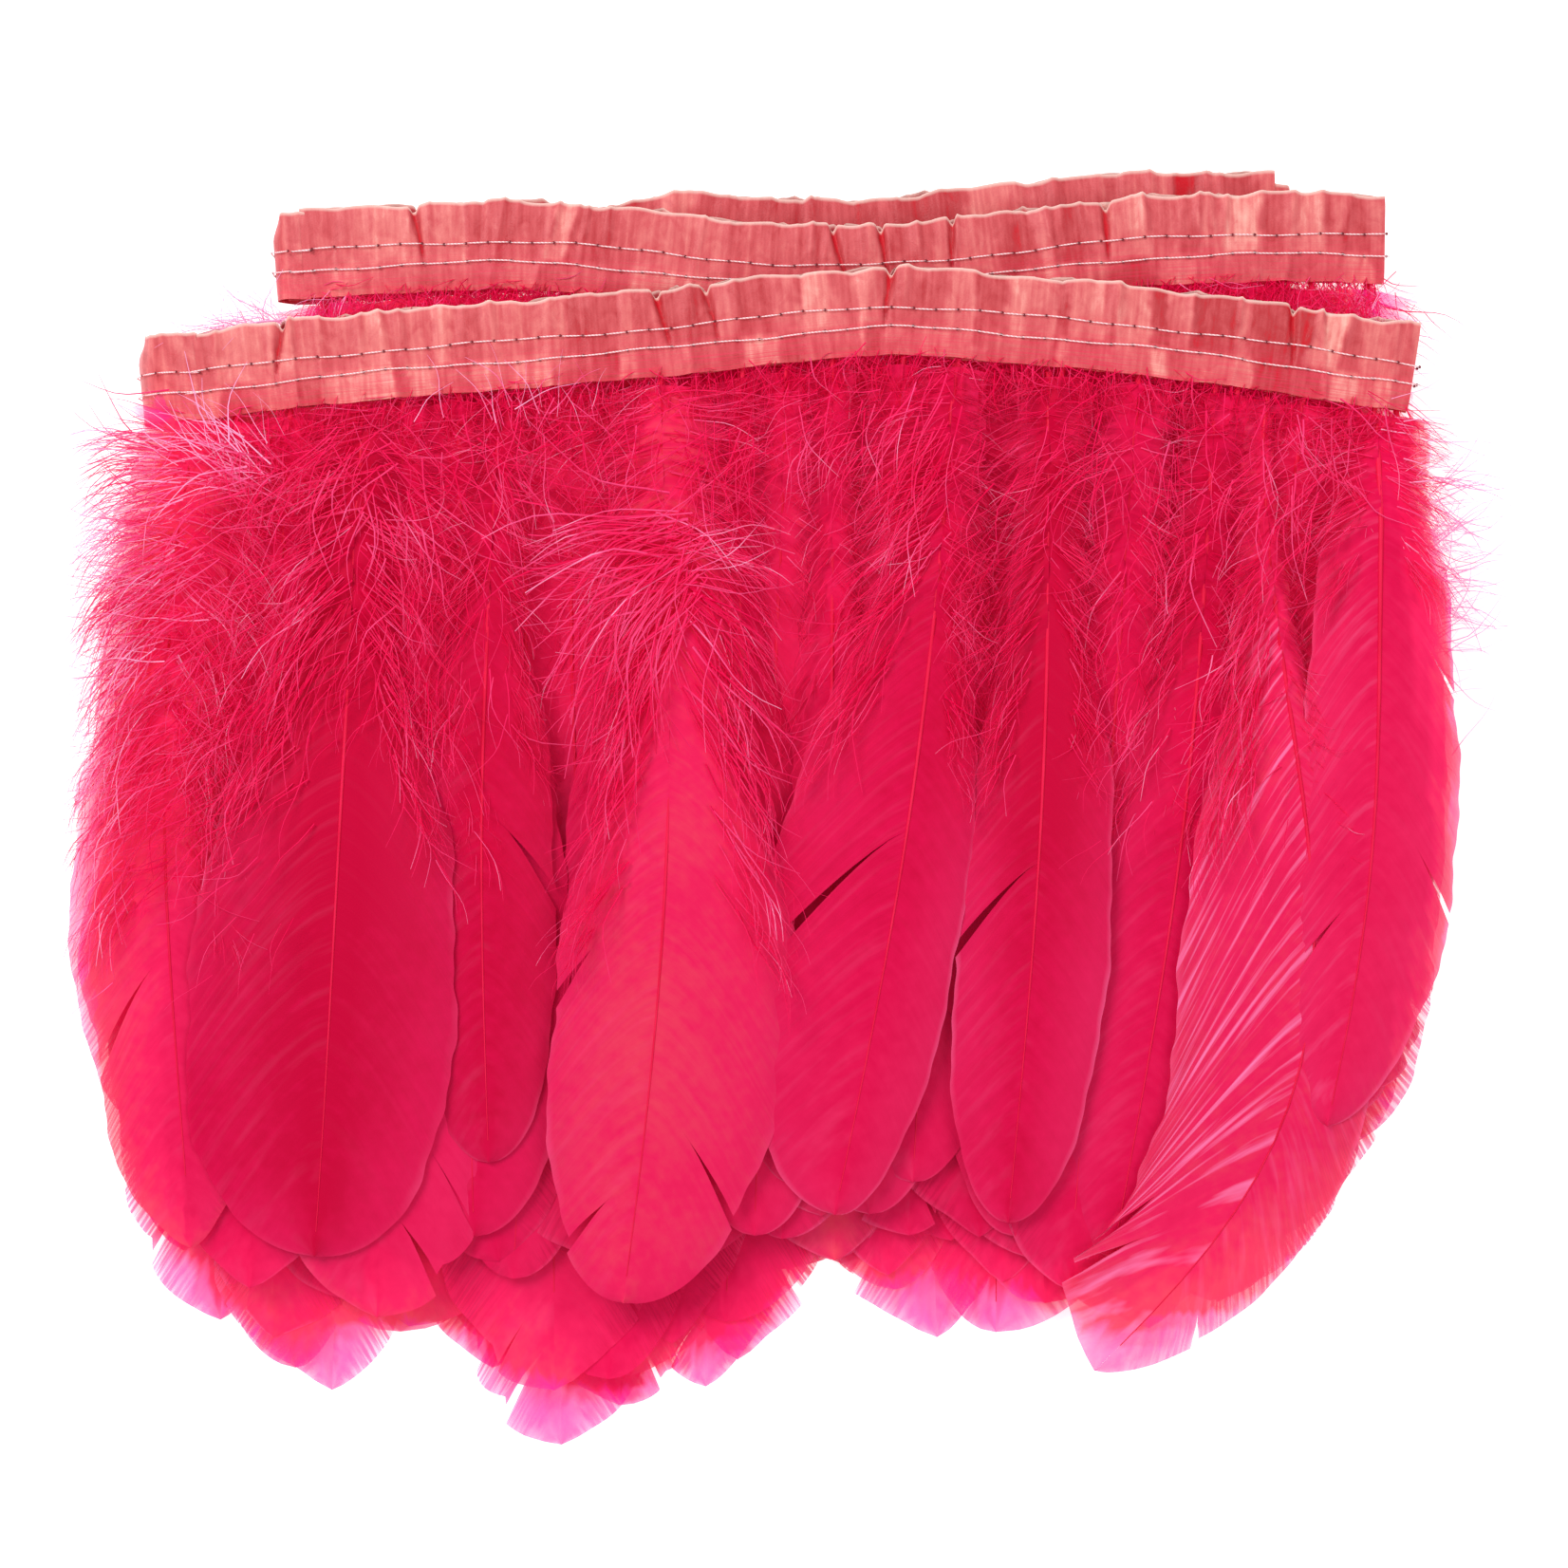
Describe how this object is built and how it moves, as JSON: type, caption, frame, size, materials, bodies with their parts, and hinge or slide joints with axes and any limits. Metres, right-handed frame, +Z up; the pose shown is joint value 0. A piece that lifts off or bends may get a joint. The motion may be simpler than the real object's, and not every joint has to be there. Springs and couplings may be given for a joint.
{
  "type": "feather fringe",
  "caption": "Dyed goose-feather fringe sewn between two satin tapes, folded in half twice and lying flat, feathers side by side along one edge.",
  "frame": {"origin": "centre of the folded fringe's footprint, on the surface that it lies on", "axes": "+X along the tapes towards their two cut ends, -Y from the tapes to the feather tips, +Z up from the surface through the stack of leaves"},
  "size_m": [0.2402, 0.2332, 0.0233],
  "materials": {
    "satin_tape": "satin",
    "sewing_thread": "matte",
    "goose_feather": "soft sheen"
  },
  "bodies": {
    "root": {"bottom_leaf_face_tape": "satin_tape", "bottom_leaf_back_tape": "satin_tape", "bottom_leaf_upper_stitching": "sewing_thread", "bottom_leaf_lower_stitching": "sewing_thread", "bottom_leaf_feather_1": "goose_feather", "bottom_leaf_feather_2": "goose_feather", "bottom_leaf_feather_3": "goose_feather", "bottom_leaf_feather_4": "goose_feather", "bottom_leaf_feather_5": "goose_feather", "bottom_leaf_feather_6": "goose_feather", "bottom_leaf_feather_7": "goose_feather", "bottom_leaf_feather_8": "goose_feather", "third_leaf_face_tape": "satin_tape", "third_leaf_back_tape": "satin_tape", "third_leaf_upper_stitching": "sewing_thread", "third_leaf_lower_stitching": "sewing_thread", "third_leaf_feather_1": "goose_feather", "third_leaf_feather_2": "goose_feather", "third_leaf_feather_3": "goose_feather", "third_leaf_feather_4": "goose_feather", "third_leaf_feather_5": "goose_feather", "third_leaf_feather_6": "goose_feather", "third_leaf_feather_7": "goose_feather", "third_leaf_feather_8": "goose_feather", "outer_fold_face_tape": "satin_tape", "outer_fold_back_tape": "satin_tape", "inner_fold_face_tape": "satin_tape", "inner_fold_back_tape": "satin_tape", "end_fold_face_tape": "satin_tape", "end_fold_back_tape": "satin_tape"},
    "front_leaf": {"front_leaf_face_tape": "satin_tape", "front_leaf_back_tape": "satin_tape", "front_leaf_upper_stitching": "sewing_thread", "front_leaf_lower_stitching": "sewing_thread", "front_under_feather_1": "goose_feather", "front_under_feather_2": "goose_feather", "front_under_feather_3": "goose_feather", "front_under_feather_4": "goose_feather", "front_under_feather_5": "goose_feather", "front_under_feather_6": "goose_feather", "front_under_feather_7": "goose_feather"},
    "second_leaf": {"second_leaf_face_tape": "satin_tape", "second_leaf_back_tape": "satin_tape", "second_leaf_upper_stitching": "sewing_thread", "second_leaf_lower_stitching": "sewing_thread", "second_leaf_feather_1": "goose_feather", "second_leaf_feather_2": "goose_feather", "second_leaf_feather_3": "goose_feather", "second_leaf_feather_4": "goose_feather", "second_leaf_feather_5": "goose_feather", "second_leaf_feather_6": "goose_feather", "second_leaf_feather_7": "goose_feather", "second_leaf_feather_8": "goose_feather"},
    "front_feather_1": {"front_feather_1": "goose_feather"},
    "front_feather_2": {"front_feather_2": "goose_feather"},
    "front_feather_3": {"front_feather_3": "goose_feather"},
    "front_feather_4": {"front_feather_4": "goose_feather"},
    "front_feather_5": {"front_feather_5": "goose_feather"},
    "front_feather_6": {"front_feather_6": "goose_feather"},
    "front_feather_7": {"front_feather_7": "goose_feather"}
  },
  "joints": [
    {"name": "front_leaf_unfold", "type": "hinge", "parent": "root", "child": "front_leaf", "pos_m": [-0.1202, 0, 0.0118], "axis": [0, 1, 0], "range_deg": [-180, 0], "deforming": ["outer_fold_face_tape", "outer_fold_back_tape"]},
    {"name": "second_leaf_unfold", "type": "hinge", "parent": "root", "child": "second_leaf", "pos_m": [-0.0946, 0, 0.0118], "axis": [0, 1, 0], "range_deg": [-180, 0], "deforming": ["inner_fold_face_tape", "inner_fold_back_tape"]},
    {"name": "front_feather_1_lift", "type": "hinge", "parent": "front_leaf", "child": "front_feather_1", "pos_m": [-0.107, 0.07063, 0.0208], "axis": [-1, 0, 0], "range_deg": [0, 70]},
    {"name": "front_feather_2_lift", "type": "hinge", "parent": "front_leaf", "child": "front_feather_2", "pos_m": [-0.077, 0.07414, 0.0208], "axis": [-1, 0, 0], "range_deg": [0, 70]},
    {"name": "front_feather_3_lift", "type": "hinge", "parent": "front_leaf", "child": "front_feather_3", "pos_m": [-0.023, 0.07851, 0.0208], "axis": [-1, 0, 0], "range_deg": [0, 70]},
    {"name": "front_feather_4_lift", "type": "hinge", "parent": "front_leaf", "child": "front_feather_4", "pos_m": [0.031, 0.08199, 0.0208], "axis": [-1, 0, 0], "range_deg": [0, 70]},
    {"name": "front_feather_5_lift", "type": "hinge", "parent": "front_leaf", "child": "front_feather_5", "pos_m": [0.048, 0.0805, 0.0208], "axis": [-1, 0, 0], "range_deg": [0, 70]},
    {"name": "front_feather_6_lift", "type": "hinge", "parent": "front_leaf", "child": "front_feather_6", "pos_m": [0.088, 0.07594, 0.0208], "axis": [-1, 0, 0], "range_deg": [0, 70]},
    {"name": "front_feather_7_lift", "type": "hinge", "parent": "front_leaf", "child": "front_feather_7", "pos_m": [0.1082, 0.07289, 0.0208], "axis": [-1, 0, 0], "range_deg": [0, 70]}
  ],
  "couplings": [
    {"joint": "second_leaf_unfold", "follows": "front_leaf_unfold", "ratio": 1}
  ]
}
